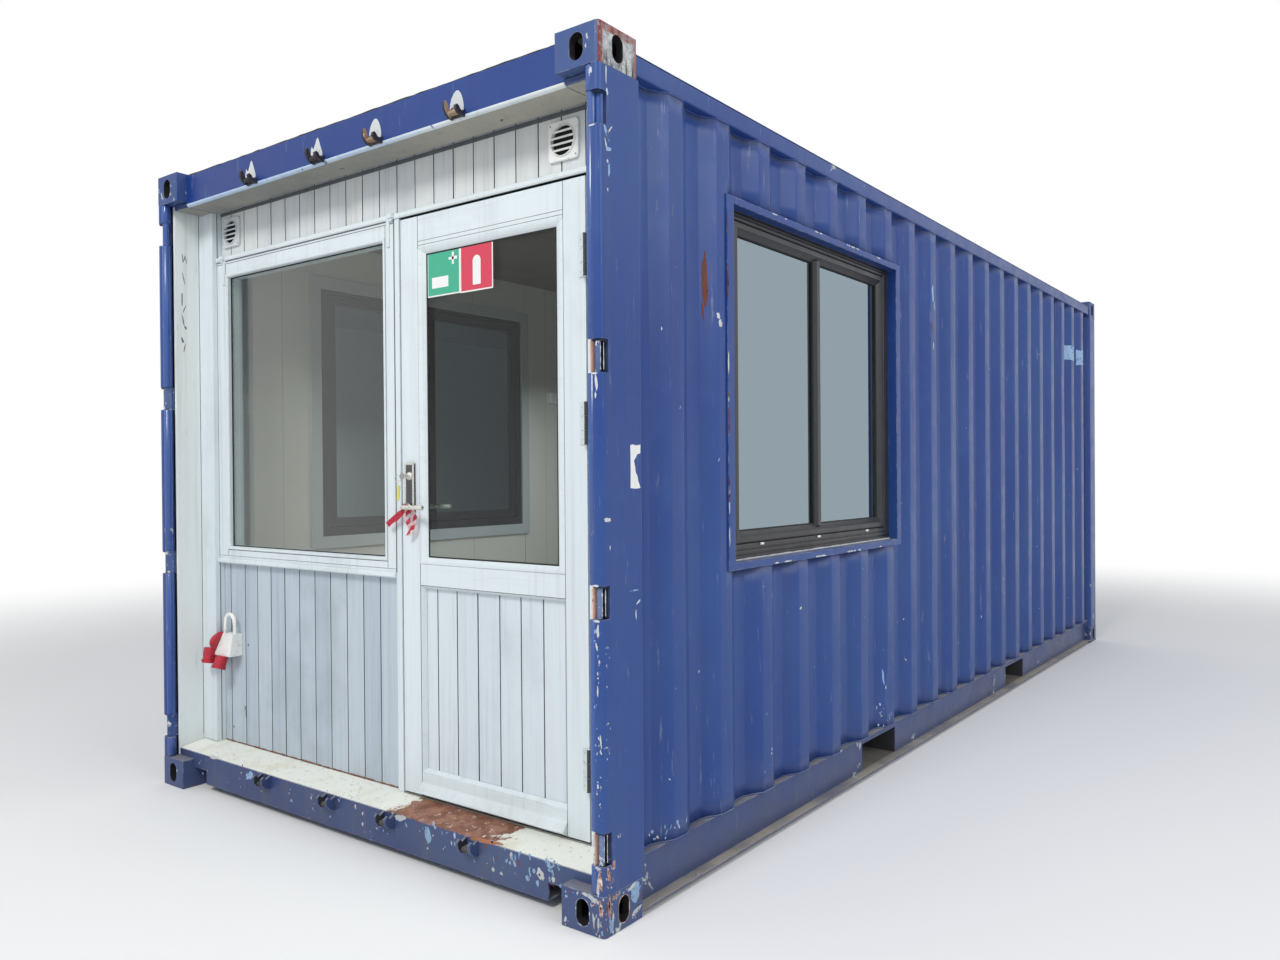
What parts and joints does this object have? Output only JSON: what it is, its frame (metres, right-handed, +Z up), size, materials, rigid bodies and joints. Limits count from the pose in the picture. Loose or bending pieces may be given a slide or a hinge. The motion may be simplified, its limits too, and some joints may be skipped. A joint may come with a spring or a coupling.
{
  "type": "portable site cabin",
  "caption": "Portable site cabin in a corrugated steel container shell with corner castings, a timber end wall with a hinged glazed door and a fixed window, and side windows.",
  "frame": {"origin": "on the ground under the middle of the cabin, at the underside of the bottom corner castings", "axes": "+Z up, the timber end wall with the door faces -Y, the right hand long side seen from the door end faces +X"},
  "size_m": [2.438, 6.058, 2.591],
  "materials": {
    "blue_steel": "worn semi gloss blue paint",
    "blue_castings": "worn blue paint over cast steel, rust at edges",
    "blue_rails": "worn blue paint, dusty flanges",
    "white_steel": "white paint over older paint, scuffed",
    "sill_steel": "cream paint worn to primer in the doorway, blue front",
    "roof_steel": "weathered blue paint, dull",
    "base_steel": "dark underseal",
    "grey_boards": "pale grey painted boards",
    "grey_joinery": "pale grey painted joinery",
    "door_joinery": "pale grey painted joinery",
    "threshold_metal": "mill finish, worn",
    "floor_plywood": "dark worn plywood",
    "inside_boards": "off white faced boards",
    "inside_trim": "light grey",
    "anthracite_frame": "anthracite foil, fine grain",
    "window_glazing": "clear double glazing, dusty",
    "lock_metal": "satin",
    "hinge_metal": "zinc plated",
    "white_plastic": "satin moulded",
    "red_plastic": "satin moulded"
  },
  "bodies": {
    "cabin": {"front_posts": "blue_steel", "front_header": "blue_steel", "rear_posts": "blue_steel", "rear_rails": "blue_steel", "side_walls_front": "blue_steel", "side_walls_window_bay": "blue_steel", "side_walls_rear": "blue_steel", "rear_wall": "blue_steel", "window_surrounds": "blue_steel", "cam_keepers": "blue_steel", "bottom_corner_castings": "blue_castings", "top_corner_castings": "blue_castings", "top_side_rails": "blue_rails", "bottom_side_rails": "blue_rails", "front_post_channels": "white_steel", "front_sill": "sill_steel", "roof": "roof_steel", "cross_members": "base_steel", "fork_pockets": "base_steel", "front_wall_lower": "grey_boards", "front_wall_top": "grey_boards", "front_lintel": "grey_boards", "cover_boards": "grey_boards", "end_window_frame": "grey_joinery", "door_jambs": "grey_joinery", "threshold": "threshold_metal", "floor": "floor_plywood", "wall_linings": "inside_boards", "ceiling": "inside_boards", "window_trims": "inside_trim", "window_frames": "anthracite_frame", "window_glass": "window_glazing", "end_window_glass": "window_glazing", "hinge_jamb_leaves": "hinge_metal", "vent_louvres": "white_plastic", "socket_block": "white_plastic", "socket_outlets": "red_plastic"},
    "door": {"door_stiles": "door_joinery", "door_rails": "door_joinery", "door_panel": "door_joinery", "door_glass": "window_glazing", "hinge_door_leaves": "hinge_metal", "lock_plates": "lock_metal"},
    "lever": {"door_lever": "lock_metal"}
  },
  "joints": [
    {"name": "door_hinge", "type": "hinge", "parent": "cabin", "child": "door", "pos_m": [1.0205, -2.8605, 1.2], "axis": [0, 0, 1], "range_deg": [0, 120]},
    {"name": "lever_turn", "type": "hinge", "parent": "door", "child": "lever", "pos_m": [0.198, -2.85, 1.201], "axis": [0, 1, 0], "range_deg": [0, 45], "stiffness_Nm_per_rad": 2, "springref_deg": -20.05}
  ]
}
